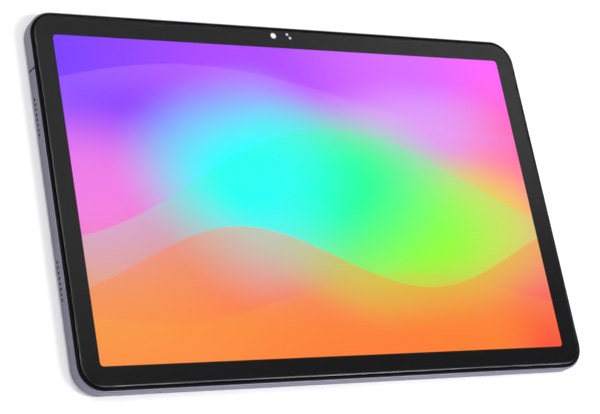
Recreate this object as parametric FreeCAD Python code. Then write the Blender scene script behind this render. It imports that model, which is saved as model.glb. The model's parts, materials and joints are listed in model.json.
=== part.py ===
"""Tablet computer with a 10.1 inch display, as an assembly of separate parts.

The tablet lies on its back. The origin is the centre of the flat back face, +X points to the right of the
screen, +Y to its top and +Z out of the screen. All sizes are in millimetres.
"""

import FreeCAD, Part
import math
import os

V = FreeCAD.Vector

# Driving sizes of the whole tablet
WIDTH = 236.8
HEIGHT = 155.6
THICK = 8.0
CORNER = 10.7
HALF_X = WIDTH / 2
HALF_Y = HEIGHT / 2

# How far a cutting shape reaches past the face that it opens, and how near two places count as the same
BEYOND = 0.5
SAME = 1e-6

# Rear tray, which the shell and the antenna cover are cut from
WALL = 1.3
FLOOR = 0.9
RIM_WALL = 0.7
RIM_TOP = 6.7
LEDGE_Z = 5.9
RIM_ROUND = 0.45
BACK_ROUND = 2.0
INNER_ROUND = 1.0
INNER_X = HALF_X - WALL
INNER_Y = HALF_Y - WALL

# Seam between shell and antenna cover, and the lap that bridges it inside
SEAM_Y = 53.0
SEAM_GAP = 0.7
SEAM_DEEP = 0.3
LAP = 3.5
LAP_THICK = 0.6
LAP_PLAY = 0.03
LAP_ROOT = 2.0

# Snap hooks of the middle frame, which lock into pockets in the tray's walls
HOOK_HALF = 3.0
HOOK_DEEP = 0.35
HOOK_ROOT = 0.25
HOOK_STEM = 0.8
HOOK_PLAY = 0.08
HOOK_Z0 = 3.4
HOOK_Z1 = 4.2
HOOK_XS = (-50.0, -20.0, 20.0, 50.0)
HOOK_LOWER_XS = (-104.0, 90.0)
HOOK_YS = (-62.0, -8.0, 60.0)

# Glass
GLASS_THICK = 0.8
GLASS_INSET = 1.5
GLASS_EDGE_WIDE = 1.2
GLASS_EDGE_DEEP = 0.45
GLASS_X = HALF_X - GLASS_INSET
GLASS_Y = HALF_Y - GLASS_INSET
GLASS_CORNER = CORNER - GLASS_INSET
GLASS_Z = THICK - GLASS_THICK
PRINT_THICK = 0.08
PRINT_INSET = 0.05
PRINT_Z = GLASS_Z - PRINT_THICK

# Picture area, 10.1 inch across its corners, and the unlit margin round it
ACTIVE_X = 216.96 / 2
ACTIVE_Y = 135.6 / 2
ACTIVE_CORNER = 1.6
BLACK_MARGIN = 0.5
POLARISER_MARGIN = 1.2
POLARISER_CORNER = 0.8
POLARISER_THICK = 0.08
ADHESIVE_MARGIN = 0.4
ADHESIVE_HAIRLINE = 0.01

# Display panel and backlight, from the panel down
LCD_X = 110.8
LCD_TOP = 70.3
LCD_BOTTOM = -73.4
LCD_LEDGE = 2.2
LCD_CORNER = 0.4
LCD_Z = 6.15
LCD_THICK = 0.8
LCD_FACE = LCD_Z + LCD_THICK
SHEET_INSET = 0.6
SHEETS_THICK = 0.25
SHEETS_BOTTOM = LCD_BOTTOM + 2.4
GUIDE_THICK = 0.45
GUIDE_BOTTOM = LCD_BOTTOM + 3.4
GUIDE_Z = LCD_Z - SHEETS_THICK - GUIDE_THICK
LAMP_COUNT = 40
LAMP_PITCH = 5.4
LAMP_LONG = 3.0
LAMP_STRIP_THICK = 0.12
TRAY_THICK = 0.2
TRAY_RIM = 0.4
TRAY_Z = GUIDE_Z - TRAY_THICK

# Middle frame and plate
LIP_TOP = 7.4
LIP_GAP = 0.1
LIP_ROUND = 0.12
FRAME_X = HALF_X - RIM_WALL - LIP_GAP
FRAME_Y = HALF_Y - RIM_WALL - LIP_GAP
FRAME_CORNER = CORNER - RIM_WALL - LIP_GAP
FRAME_Z = 5.0
BASE_X = INNER_X - LIP_GAP
BASE_Y = INNER_Y - LIP_GAP
SHELF_WIDE = 1.2
TAPE_Z = 7.0
TAPE_OUTER = 1.4
TAPE_INNER = 3.0
PLATE_Z = 4.6
PLATE_INSET = 1.2
WINDOW_PLAY = 0.4
FRAME_SCREW_X = 113.4
FRAME_SCREW_YS = (-52.0, 52.5)
FRAME_SCREW_R = 0.6
FRAME_SCREW_LONG = 1.6

# Openings along the edges
EDGE_Z = 3.65
HOLE_R = 0.6
HOLE_PITCH = 2.13
HOLES = 8
SPEAKER_Y = 33.3
MIC_X = -84.3
MIC_R = 0.45
TOP_MIC_X = -40.0

# Side keys on the top edge
KEY_Z = 3.55
KEY_HIGH = 2.2
KEY_PLAY = 0.12
KEY_PROUD = 0.5
KEY_TRAVEL = 0.3
KEY_ROUND = 0.3
KEY_FACE = HALF_Y + KEY_PROUD
POWER_X = -97.0
POWER_LONG = 11.0
VOLUME_X = -74.0
VOLUME_LONG = 22.0
FLANGE_THICK = 0.5
FLANGE_EXTRA = 0.5
FLANGE_Y = INNER_Y - 0.45
FLANGE_BACK = FLANGE_Y - FLANGE_THICK
PLUNGER_R = 0.55
PLUNGER_LONG = 0.5
ROCKER_PLUNGER = 7.5
NUB_R = 0.45
NUB_HIGH = 1.6
SWITCH_REST = 0.05
SWITCH_Y = FLANGE_BACK - PLUNGER_LONG - KEY_TRAVEL - SWITCH_REST
SWITCH_THICK = 0.6
DOME_R = 0.8
DOME_HIGH = 0.2
KEY_FLEX_THICK = 0.2
KEY_FLEX_END = -54.0
BRACKET_THICK = 0.6
BRACKET_X0 = POWER_X - 6.0
BRACKET_X1 = VOLUME_X + 13.0

# Card tray and its socket
TRAY_X = 66.0
TRAY_FACE_LONG = 14.0
TRAY_FACE_HIGH = 2.4
TRAY_PLAY = 0.08
TRAY_FACE_THICK = 1.4
TRAY_BODY_WIDE = 12.6
TRAY_BODY_LONG = 24.0
TRAY_BODY_CORNER = 0.9
TRAY_BODY_Z = 3.15
TRAY_BODY_THICK = 1.0
TRAY_BODY_TOP = TRAY_BODY_Z + TRAY_BODY_THICK
TRAY_BODY_END = HALF_Y - TRAY_FACE_THICK - TRAY_BODY_LONG
CARD_WIDE = 11.2
CARD_LONG = 15.2
CARD_DEEP = 0.75
CARD_RIM = 0.9
CARD_FROM_END = 1.6
CARD_CORNER = 0.8
PIN_R = 0.45
PIN_FROM_END = 1.6
PIN_DEEP = 2.5
CAGE_WALL = 0.2
CAGE_PLAY = 0.15
CAGE_MOUTH_Y = 70.0

# Boards
BOARD_Z = 2.1
BOARD_THICK = 0.8
BOARD_TOP = BOARD_Z + BOARD_THICK
BOARD_OUTLINE = [(-56, 18), (101, 18), (101, 50), (92, 50), (92, 70.4), (-56, 70.4)]
BOARD_SCREWS = [(-52.0, 22.0), (-52.0, 66.0), (30.0, 66.5), (88.0, 45.5), (50.0, 22.0)]
BOARD_HOLE_R = 0.85
CANS = [(-44.0, -10.0, 34.0, 62.0), (-6.0, 26.0, 34.0, 60.0), (32.0, 54.0, 26.0, 44.0)]
CAN_TOP = 4.3
CAN_WALL = 0.2
CHIPS = [(-40, -26, 40, 54), (-22, -13, 42, 54), (-2, 8, 40, 50), (12, 20, 42, 52), (36, 46, 30, 40)]
CHIP_THICK = 0.9
SOCKETS = [(0, 24.0, 9.0), (-49.0, 44.0, 6.0), (-20.0, 67.5, 6.0), (85.0, 64.0, 6.0), (98.0, 23.0, 5.0)]
SOCKET_WIDE = 2.8
SOCKET_HIGH = 0.7
BATTERY_SOCKET = (24.0, 33.0, 19.4, 22.6)
BATTERY_SOCKET_HIGH = 1.3
STANDOFF_R = 1.9
STANDOFF_BORE_R = 0.72

# Charging socket and its board
USB_Z = 3.7
USB_WIDE = 8.94
USB_HIGH = 3.26
USB_WALL = 0.3
USB_LONG = 7.3
USB_RECESS = 0.25
USB_PLAY = 0.1
USB_BACK = 0.6
USB_X0 = HALF_X - USB_RECESS - USB_LONG
TONGUE_WIDE = 6.7
TONGUE_THICK = 0.7
TONGUE_LONG = 4.6
TONGUE_ROOT = 0.9
CONTACTS = 12
CONTACT_PITCH = 0.5
CONTACT_WIDE = 0.26
CONTACT_LONG = 3.6
CONTACT_THICK = 0.04
USB_BOARD_X0 = 97.5
USB_BOARD_X1 = 115.6
USB_BOARD_HALF = 13.0
USB_BOARD_Z = 1.25
USB_BOARD_TOP = USB_BOARD_Z + BOARD_THICK
USB_SCREW = (101.5, -9.5)

# Cameras and sensors
FRONT_CAMERA = (-7.24, 73.5)
FRONT_CAMERA_WINDOW_R = 1.9
FRONT_LENS_R = 1.7
FRONT_LENS_Z = 6.6
FRONT_LENS_TOP = 7.05
FRONT_BARREL_R = 2.2
FRONT_MODULE_Z = 4.2
FRONT_SHOULDER_Z = 6.2
LIGHT_SENSOR = (-0.5, 74.4)
STATUS_LED = (0.7, 72.8)
SENSOR_WINDOW_R = 0.65
SENSOR_BOARD_Z = 6.1
SENSOR_Z = 6.5
SENSOR_TOP = 7.05
REAR_CAMERA = (98.0, 65.4)
REAR_RING_R = 6.2
REAR_RING_PLAY = 0.05
REAR_RING_FLANGE = 0.9
REAR_RING_THICK = 1.1
REAR_RING_CHAMFER = 0.35
REAR_WINDOW_R = 4.9
REAR_WINDOW_Z = 0.4
REAR_LENS_R = 2.1
REAR_LENS_Z = 1.35
REAR_LENS_TOP = 1.9
REAR_BARREL_R = 3.4
REAR_MODULE_Z = 2.4
REAR_MODULE_TOP = 5.1
REAR_MODULE_HALF = 4.4

# Battery
CELL_X0 = 6.0
CELL_X1 = 96.0
CELL_Y0 = -72.0
CELL_Y1 = 14.0
CELL_END = 3.5
CELL_Z = 1.15
CELL_THICK = 3.2
CELL_TOP = CELL_Z + CELL_THICK
CELL_CORNER = 1.6
CELL_ROUND = 0.9
WIRE_R = 0.4
WIRE_XS = (26.3, 28.5, 30.7)
TAPE_XS = (-78.0, -26.0, 26.0, 78.0)
TAPE_HALF = 6.0

# Speakers and microphones
SPEAKER_WIDE = 12.4
SPEAKER_LONG = 26.0
SPEAKER_Z = 1.25
SPEAKER_THICK = 3.2
SPEAKER_CORNER = 1.2
SPEAKER_ROUND = 0.4
MOUTH_HALF = 8.4
MESH_THICK = 0.15
MESH_HALF = 9.6
GASKET_THICK = 0.5
MIC_CAN_THICK = 1.2
MIC_BOARD_THICK = 0.4

# Antennas
ANTENNA_THICK = 0.15
ANTENNA_SLOT = 0.8
COAX_R = 0.4


# --- Basic shapes -----------------------------------------------------------------------------------


def block(x0, x1, y0, y1, z0, z1):
    return Part.makeBox(x1 - x0, y1 - y0, z1 - z0, V(x0, y0, z0))


def rod(x, y, z0, z1, radius):
    return Part.makeCylinder(radius, z1 - z0, V(x, y, z0))


def rod_along(axis, start, length, radius):
    return Part.makeCylinder(radius, length, V(*start), V(*axis))


def fuse(shapes):
    return shapes[0].multiFuse(shapes[1:]).removeSplitter() if len(shapes) > 1 else shapes[0]


def rounded_face(x0, x1, y0, y1, radius):
    """Rectangle with rounded corners in the XY plane."""
    corners = [(x1, y1, 0), (x0, y1, 90), (x0, y0, 180), (x1, y0, 270)]
    arcs = []
    for x, y, start in corners:
        centre_x = x - math.copysign(radius, x - (x0 + x1) / 2)
        centre_y = y - math.copysign(radius, y - (y0 + y1) / 2)
        arcs.append(Part.makeCircle(radius, V(centre_x, centre_y, 0), V(0, 0, 1), start, start + 90))
    edges = []
    for i, arc in enumerate(arcs):
        edges.append(arc)
        gap_start = arc.Vertexes[-1].Point
        gap_end = arcs[(i + 1) % 4].Vertexes[0].Point
        edges.append(Part.LineSegment(gap_start, gap_end).toShape())
    return Part.Face(Part.Wire(edges))


def slab(x0, x1, y0, y1, z0, z1, radius):
    """Flat plate with rounded corners."""
    face = rounded_face(x0, x1, y0, y1, radius)
    face.translate(V(0, 0, z0))
    return face.extrude(V(0, 0, z1 - z0))


def centred_slab(half_x, half_y, z0, z1, radius):
    return slab(-half_x, half_x, -half_y, half_y, z0, z1, radius)


def pill_face(length, height):
    """Slot outline, its length along X, in the XZ plane around the origin. Its ends stop a hair short of
    full half circles, so that a short straight edge stays between them."""
    radius = height / 2 - 0.001
    face = rounded_face(-length / 2, length / 2, -height / 2, height / 2, radius)
    face.rotate(V(0, 0, 0), V(1, 0, 0), 90)
    return face


def pill_along_y(x, z, length, height, y0, y1):
    face = pill_face(length, height)
    face.translate(V(x, y0, z))
    return face.extrude(V(0, y1 - y0, 0))


def pill_along_x(y, z, length, height, x0, x1):
    face = pill_face(length, height)
    face.rotate(V(0, 0, 0), V(0, 0, 1), 90)
    face.translate(V(x0, y, z))
    return face.extrude(V(x1 - x0, 0, 0))


def edges_where(shape, test):
    """Edges whose middle point passes the test."""
    found = []
    for edge in shape.Edges:
        middle = edge.valueAt((edge.FirstParameter + edge.LastParameter) / 2)
        if test(middle):
            found.append(edge)
    return found


def edges_at_height(shape, *heights):
    return edges_where(shape, lambda p: any(abs(p.z - z) < SAME for z in heights))


def section_face(edges):
    """Face in the XZ plane from edges drawn in XY."""
    face = Part.Face(Part.Wire(Part.__sortEdges__(edges)))
    face.rotate(V(0, 0, 0), V(1, 0, 0), 90)
    return face


def line(a, b):
    return Part.LineSegment(V(*a, 0), V(*b, 0)).toShape()


def ellipse_quarter(centre, wide, high, up):
    """Quarter ellipse from straight right of the centre to straight above it, or below it if up is false."""
    x, y = centre
    tip = y + high if up else y - high
    curve = Part.BezierCurve()
    curve.setPoles([V(x + wide, y, 0), V(x + wide, tip, 0), V(x, tip, 0)])
    curve.setWeight(2, math.sqrt(0.5))
    return curve.toShape()


def rounded_body(section, half_x, half_y, radius, core_z0, core_z1):
    """Slab or tray whose edge keeps one section all the way round. In the section, x runs outwards from the
    corner's own centre. The core closes the middle between two heights."""
    run_x, run_y = half_x - radius, half_y - radius
    pieces = [block(-run_x, run_x, -run_y, run_y, core_z0, core_z1)]
    sides = [
        (1, 1, 0, V(0, -2 * run_y, 0)),
        (-1, 1, 90, V(2 * run_x, 0, 0)),
        (-1, -1, 180, V(0, 2 * run_y, 0)),
        (1, -1, 270, V(-2 * run_x, 0, 0)),
    ]
    for sign_x, sign_y, start, along in sides:
        face = section.copy()
        face.rotate(V(0, 0, 0), V(0, 0, 1), start)
        face.translate(V(sign_x * run_x, sign_y * run_y, 0))
        pieces.append(face.extrude(along))
        pieces.append(face.revolve(V(sign_x * run_x, sign_y * run_y, 0), V(0, 0, 1), 90))
    return fuse(pieces)


def ribbon(points, thickness, x0, x1):
    """Flat cable whose middle line is a list of (y, z) points, with its width from x0 to x1."""
    half = thickness / 2
    above, below = [], []
    for i, (y, z) in enumerate(points):
        before = points[max(i - 1, 0)]
        after = points[min(i + 1, len(points) - 1)]
        into = V(y - before[0], z - before[1], 0)
        out = V(after[0] - y, after[1] - z, 0)
        into = out if into.Length == 0 else into
        out = into if out.Length == 0 else out
        into, out = into.normalize(), out.normalize()
        mean = (into + out).normalize()
        reach = half / mean.dot(into)
        above.append(V(x0, y - mean.y * reach, z + mean.x * reach))
        below.append(V(x0, y + mean.y * reach, z - mean.x * reach))
    outline = above + below[::-1]
    return Part.Face(Part.makePolygon(outline + outline[:1])).extrude(V(x1 - x0, 0, 0))


def tube(points, radius):
    """Round cable along straight runs that are joined by tangent arcs."""
    points = [V(*p) for p in points]
    edges, at = [], points[0]
    for before, corner, after in zip(points, points[1:], points[2:]):
        into, out = corner - before, after - corner
        turn = into.getAngle(out)
        cut = 0.45 * min(into.Length, out.Length)
        bend = cut / math.tan(turn / 2)
        into, out = into.normalize(), out.normalize()
        start, end = corner - into * cut, corner + out * cut
        middle = corner + (out - into).normalize() * (bend / math.cos(turn / 2) - bend)
        edges.append(Part.LineSegment(at, start).toShape())
        edges.append(Part.Arc(start, middle, end).toShape())
        at = end
    edges.append(Part.LineSegment(at, points[-1]).toShape())
    along = (points[1] - points[0]).normalize()
    ring = Part.Wire([Part.makeCircle(radius, points[0], along)])
    return Part.Wire(edges).makePipeShell([ring], True, False)


def cross_recess(x, y, reach, top):
    """Cross for a screwdriver, cut upwards to a height."""
    narrow = reach / 4
    return [
        block(x - reach, x + reach, y - narrow, y + narrow, 0, top),
        block(x - narrow, x + narrow, y - reach, y + reach, 0, top),
    ]


def screw(x, y, seat, head_high, head_r, tip, shank_r):
    """Screw driven upwards, whose head lies below its seat."""
    bottom = seat - head_high
    head = rod(x, y, bottom, seat, head_r)
    head = head.makeFillet(head_high / 3, edges_at_height(head, bottom))
    shank = rod(x, y, seat, tip, shank_r)
    return fuse([head, shank]).cut(cross_recess(x, y, head_r / 2, seat - head_high / 2))


def standoff(x, y, bottom, bore_top):
    """Threaded post under the middle plate, with a blind bore from below."""
    return rod(x, y, bottom, PLATE_Z, STANDOFF_R).cut(rod(x, y, 0, bore_top, STANDOFF_BORE_R))


# --- Rear tray: shell, antenna cover and the strip between them --------------------------------------


def tray_section(inset=0.0):
    """Section of the rear tray's wall. An inset makes the outside that much smaller."""
    side = CORNER - inset
    rim_inner = CORNER - RIM_WALL
    inner = CORNER - WALL
    back_x = CORNER - BACK_ROUND
    rim_x = CORNER - RIM_ROUND
    round_z = FLOOR + INNER_ROUND
    return section_face([
        line((0, inset), (back_x, inset)),
        ellipse_quarter((back_x, BACK_ROUND), BACK_ROUND - inset, BACK_ROUND - inset, False),
        line((side, BACK_ROUND), (side, RIM_TOP - RIM_ROUND)),
        ellipse_quarter((rim_x, RIM_TOP - RIM_ROUND), RIM_ROUND - inset, RIM_ROUND, True),
        line((rim_x, RIM_TOP), (rim_inner, RIM_TOP)),
        line((rim_inner, RIM_TOP), (rim_inner, LEDGE_Z)),
        line((rim_inner, LEDGE_Z), (inner, LEDGE_Z)),
        line((inner, LEDGE_Z), (inner, round_z)),
        ellipse_quarter((inner - INNER_ROUND, round_z), INNER_ROUND, INNER_ROUND, False),
        line((inner - INNER_ROUND, FLOOR), (0, FLOOR)),
        line((0, FLOOR), (0, inset)),
    ])


def rear_tray(inset=0.0):
    return rounded_body(tray_section(inset), HALF_X, HALF_Y, CORNER, inset, FLOOR)


def wall_hole(x, y, inwards, radius):
    """Round hole through a side wall, from a point on its outer face."""
    axis = V(*inwards)
    return Part.makeCylinder(radius, WALL + 2 * BEYOND, V(x, y, EDGE_Z) - axis * BEYOND, axis)


def speaker_holes():
    """Two rows of sound holes on each short side."""
    holes = []
    for side in (-1, 1):
        for middle in (-SPEAKER_Y, SPEAKER_Y):
            for i in range(HOLES):
                y = middle + (i - (HOLES - 1) / 2) * HOLE_PITCH
                holes.append(wall_hole(side * HALF_X, y, (-side, 0, 0), HOLE_R))
    return holes


def hook_places():
    """Middle of each snap hook: (x, y, along X or not). The charging socket takes the place of one."""
    long_edges = [(x, side * INNER_Y, True) for x in HOOK_XS for side in (-1, 1)]
    lower_edge = [(x, -INNER_Y, True) for x in HOOK_LOWER_XS]
    left_edge = [(-INNER_X, y, False) for y in HOOK_YS]
    right_edge = [(INNER_X, y, False) for y in HOOK_YS if abs(y) > USB_WIDE]
    return long_edges + lower_edge + left_edge + right_edge


def hook_shape(x, y, along_x, grow):
    """Snap hook's barb, or with grow the pocket that takes it."""
    half, deep = HOOK_HALF + grow, HOOK_DEEP + grow
    low, high = HOOK_Z0 - grow, HOOK_Z1 + grow
    if along_x:
        root, tip = y - math.copysign(HOOK_ROOT, y), y + math.copysign(deep, y)
        return block(x - half, x + half, min(root, tip), max(root, tip), low, high)
    root, tip = x - math.copysign(HOOK_ROOT, x), x + math.copysign(deep, x)
    return block(min(root, tip), max(root, tip), y - half, y + half, low, high)


def hook_pockets():
    return [hook_shape(x, y, along_x, HOOK_PLAY) for x, y, along_x in hook_places()]


def make_rear_shell(tray):
    shell = tray.common(block(-HALF_X, HALF_X, -HALF_Y, SEAM_Y - SEAM_GAP / 2, 0, THICK))
    wide, high = USB_WIDE + 2 * USB_PLAY, USB_HIGH + 2 * USB_PLAY
    charging = pill_along_x(0, USB_Z, wide, high, INNER_X - BEYOND, HALF_X + BEYOND)
    microphone = wall_hole(MIC_X, -HALF_Y, (0, 1, 0), MIC_R)
    return shell.cut(speaker_holes() + hook_pockets() + [charging, microphone]).removeSplitter()


def cover_laps():
    """Tongues on the cover's floor and side walls that reach under the shell."""
    seam_far = SEAM_Y + SEAM_GAP / 2
    seam_near = SEAM_Y - SEAM_GAP / 2 - LAP
    lap_x = INNER_X - INNER_ROUND - 0.2
    laps = [
        block(-lap_x, lap_x, seam_near, seam_far, FLOOR + LAP_PLAY, FLOOR + LAP_THICK),
        block(-lap_x, lap_x, seam_far, seam_far + LAP_ROOT, FLOOR, FLOOR + LAP_THICK),
    ]
    low, high = FLOOR + INNER_ROUND, LEDGE_Z - 1
    for side in (-1, 1):
        inside = side * (INNER_X - LAP_THICK)
        wall, near_wall = side * INNER_X, side * (INNER_X - LAP_PLAY)
        laps.append(block(min(inside, near_wall), max(inside, near_wall), seam_near, seam_far, low, high))
        laps.append(block(min(inside, wall), max(inside, wall), seam_far, seam_far + LAP_ROOT, low, high))
    return laps


def make_antenna_cover(tray):
    cover = tray.common(block(-HALF_X, HALF_X, SEAM_Y + SEAM_GAP / 2, HALF_Y, 0, THICK))
    cover = fuse([cover] + cover_laps())
    wall = (INNER_Y - BEYOND, HALF_Y + BEYOND)
    key_high = KEY_HIGH + 2 * KEY_PLAY
    face_long, face_high = TRAY_FACE_LONG + 2 * TRAY_PLAY, TRAY_FACE_HIGH + 2 * TRAY_PLAY
    cuts = [
        pill_along_y(POWER_X, KEY_Z, POWER_LONG + 2 * KEY_PLAY, key_high, *wall),
        pill_along_y(VOLUME_X, KEY_Z, VOLUME_LONG + 2 * KEY_PLAY, key_high, *wall),
        pill_along_y(TRAY_X, EDGE_Z, face_long, face_high, *wall),
        wall_hole(TOP_MIC_X, HALF_Y, (0, -1, 0), MIC_R),
        rod(*REAR_CAMERA, -BEYOND, FLOOR + BEYOND, REAR_RING_R + REAR_RING_PLAY),
    ]
    return cover.cut(cuts + hook_pockets()).removeSplitter()


def make_seam_strip():
    """Insulating strip that fills the gap between shell and antenna cover, a little below their surface."""
    gap = SEAM_GAP / 2
    window = block(-HALF_X, HALF_X, SEAM_Y - gap, SEAM_Y + gap, 0, THICK)
    return rear_tray(SEAM_DEEP).common(window)


# --- Display ----------------------------------------------------------------------------------------


def make_cover_glass():
    outer = GLASS_CORNER
    shoulder = THICK - GLASS_EDGE_DEEP
    flat = outer - GLASS_EDGE_WIDE
    section = section_face([
        line((0, GLASS_Z), (outer, GLASS_Z)),
        line((outer, GLASS_Z), (outer, shoulder)),
        ellipse_quarter((flat, shoulder), GLASS_EDGE_WIDE, GLASS_EDGE_DEEP, True),
        line((flat, THICK), (0, THICK)),
        line((0, THICK), (0, GLASS_Z)),
    ])
    return rounded_body(section, GLASS_X, GLASS_Y, GLASS_CORNER, GLASS_Z, THICK)


def make_black_border():
    """Black print on the back of the glass, open over the picture, the camera and the two sensors."""
    corner = GLASS_CORNER - PRINT_INSET
    sheet = centred_slab(GLASS_X - PRINT_INSET, GLASS_Y - PRINT_INSET, PRINT_Z, GLASS_Z, corner)
    low, high = PRINT_Z - BEYOND, GLASS_Z + BEYOND
    open_x, open_y = ACTIVE_X + BLACK_MARGIN, ACTIVE_Y + BLACK_MARGIN
    cuts = [
        centred_slab(open_x, open_y, low, high, ACTIVE_CORNER + BLACK_MARGIN),
        rod(*FRONT_CAMERA, low, high, FRONT_CAMERA_WINDOW_R),
        rod(*LIGHT_SENSOR, low, high, SENSOR_WINDOW_R),
        rod(*STATUS_LED, low, high, SENSOR_WINDOW_R),
    ]
    return sheet.cut(cuts)


def make_glass_tape():
    """Adhesive loop between the frame's shelf and the glass."""
    outer_x, outer_y = FRAME_X - TAPE_OUTER, FRAME_Y - TAPE_OUTER
    inner_x, inner_y = FRAME_X - TAPE_INNER - 0.2, FRAME_Y - TAPE_INNER
    outer = centred_slab(outer_x, outer_y, TAPE_Z, PRINT_Z, FRAME_CORNER - TAPE_OUTER)
    inner = centred_slab(inner_x, inner_y, TAPE_Z - BEYOND, THICK, FRAME_CORNER - TAPE_INNER)
    return outer.cut([inner, front_pocket()])


def make_polariser():
    """Top film of the panel, whose face shows the picture."""
    half_x, half_y = ACTIVE_X + POLARISER_MARGIN, ACTIVE_Y + POLARISER_MARGIN
    return centred_slab(half_x, half_y, LCD_FACE, LCD_FACE + POLARISER_THICK, POLARISER_CORNER)


def make_optical_adhesive():
    """Clear layer between panel and glass. A hairline stays on each face, so that no two faces coincide."""
    half_x, half_y = ACTIVE_X + ADHESIVE_MARGIN, ACTIVE_Y + ADHESIVE_MARGIN
    low = LCD_FACE + POLARISER_THICK + ADHESIVE_HAIRLINE
    return centred_slab(half_x, half_y, low, GLASS_Z - ADHESIVE_HAIRLINE, ACTIVE_CORNER + ADHESIVE_MARGIN)


def make_lcd_panel():
    """Two bonded glass plates, the lower one longer to carry the driver ledge."""
    middle = LCD_Z + LCD_THICK / 2
    cell = slab(-LCD_X, LCD_X, LCD_BOTTOM + LCD_LEDGE, LCD_TOP, middle, LCD_FACE, LCD_CORNER)
    base = slab(-LCD_X, LCD_X, LCD_BOTTOM, LCD_TOP, LCD_Z, middle, LCD_CORNER)
    return fuse([base, cell])


def backlight_sheet(bottom, z0, z1):
    half = LCD_X - SHEET_INSET
    return slab(-half, half, bottom, LCD_TOP - SHEET_INSET, z0, z1, SHEET_INSET)


def make_backlight_led_bar():
    """Strip of lamps along the light guide's lower edge."""
    half = LCD_X - 2
    strip_y0, strip_y1 = LCD_BOTTOM + 0.8, LCD_BOTTOM + 3.0
    lamp_y0, lamp_y1 = LCD_BOTTOM + 2.2, LCD_BOTTOM + 3.2
    strip_z = GUIDE_Z + LAMP_STRIP_THICK
    lamps = [block(-half, half, strip_y0, strip_y1, GUIDE_Z, strip_z)]
    for i in range(LAMP_COUNT):
        x = (i - (LAMP_COUNT - 1) / 2) * LAMP_PITCH
        left, right = x - LAMP_LONG / 2, x + LAMP_LONG / 2
        lamps.append(block(left, right, lamp_y0, lamp_y1, strip_z, GUIDE_Z + GUIDE_THICK))
    return fuse(lamps)


def make_backlight_tray():
    """Shallow steel pan that holds the light guide and the sheets."""
    tray = slab(-LCD_X, LCD_X, LCD_BOTTOM, LCD_TOP, TRAY_Z, LCD_Z, SHEET_INSET)
    half = LCD_X - TRAY_RIM
    hollow = slab(-half, half, LCD_BOTTOM + TRAY_RIM, LCD_TOP - TRAY_RIM, GUIDE_Z, THICK, 0.5)
    return tray.cut(hollow)


def make_display_flex():
    """Flat cable from the panel's lower edge, round the middle plate and up between the cells to the board."""
    thickness, half_wide = 0.14, 4.0
    ledge = LCD_Z + LCD_THICK / 2 + 0.08
    low = PLATE_Z - 0.12
    high = BOARD_TOP + 1.15
    outside = LCD_BOTTOM - 0.55
    points = [
        (LCD_BOTTOM + 1.0, ledge),
        (LCD_BOTTOM - 0.2, ledge),
        (outside, LCD_Z),
        (outside, low + 0.3),
        (LCD_BOTTOM - 0.2, low),
        (16.0, low),
        (19.0, high),
        (26.0, high),
    ]
    return ribbon(points, thickness, -half_wide, half_wide)


# --- Middle frame and plate -------------------------------------------------------------------------


def front_pocket():
    """Room in the frame and plate for the front camera and the sensor board."""
    return block(-10.6, 4.4, 70.9, 76.0, 0, THICK)


def usb_notch():
    """Room over the charging socket."""
    half = USB_WIDE / 2 + 0.3
    return block(109.5, HALF_X - RIM_WALL, -half, half, 0, USB_Z + USB_HIGH / 2 + 0.15)


def frame_hooks():
    """Barbs of the snap hooks, each hanging from the frame on a stem."""
    hooks = []
    for x, y, along_x in hook_places():
        hooks.append(hook_shape(x, y, along_x, 0))
        reach = BASE_Y if along_x else BASE_X
        if along_x:
            near, far = math.copysign(reach - HOOK_STEM, y), math.copysign(reach, y)
            stem = (x - HOOK_HALF, x + HOOK_HALF, min(near, far), max(near, far))
        else:
            near, far = math.copysign(reach - HOOK_STEM, x), math.copysign(reach, x)
            stem = (min(near, far), max(near, far), y - HOOK_HALF, y + HOOK_HALF)
        hooks.append(block(*stem, HOOK_Z0, FRAME_Z))
    return hooks


def make_mid_frame():
    """Plastic frame with a lip round the glass, a shelf under it and a window for the display."""
    ring = centred_slab(FRAME_X, FRAME_Y, LEDGE_Z, LIP_TOP, FRAME_CORNER)
    base = centred_slab(BASE_X, BASE_Y, FRAME_Z, LEDGE_Z, CORNER - WALL - LIP_GAP)
    bed = centred_slab(GLASS_X + LIP_GAP, GLASS_Y + LIP_GAP, PRINT_Z, THICK, GLASS_CORNER + LIP_GAP)
    shelf = centred_slab(FRAME_X - SHELF_WIDE, FRAME_Y - SHELF_WIDE, TAPE_Z, THICK, FRAME_CORNER - SHELF_WIDE)
    window_x = LCD_X + WINDOW_PLAY
    window = slab(-window_x, window_x, LCD_BOTTOM - WINDOW_PLAY, LCD_TOP + WINDOW_PLAY, 0, THICK, 1.0)
    flex_gap = block(-4.3, 4.3, LCD_BOTTOM - 0.9, LCD_BOTTOM, 0, THICK)
    holes = [rod(x, y, 0, PLATE_Z + FRAME_SCREW_LONG, FRAME_SCREW_R) for x, y in frame_screw_places()]
    body = fuse([ring, base]).cut([bed, shelf, window, flex_gap, front_pocket(), usb_notch()] + holes)
    body = body.makeFillet(LIP_ROUND, edges_at_height(body, LIP_TOP))
    return fuse([body] + frame_hooks())


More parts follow.
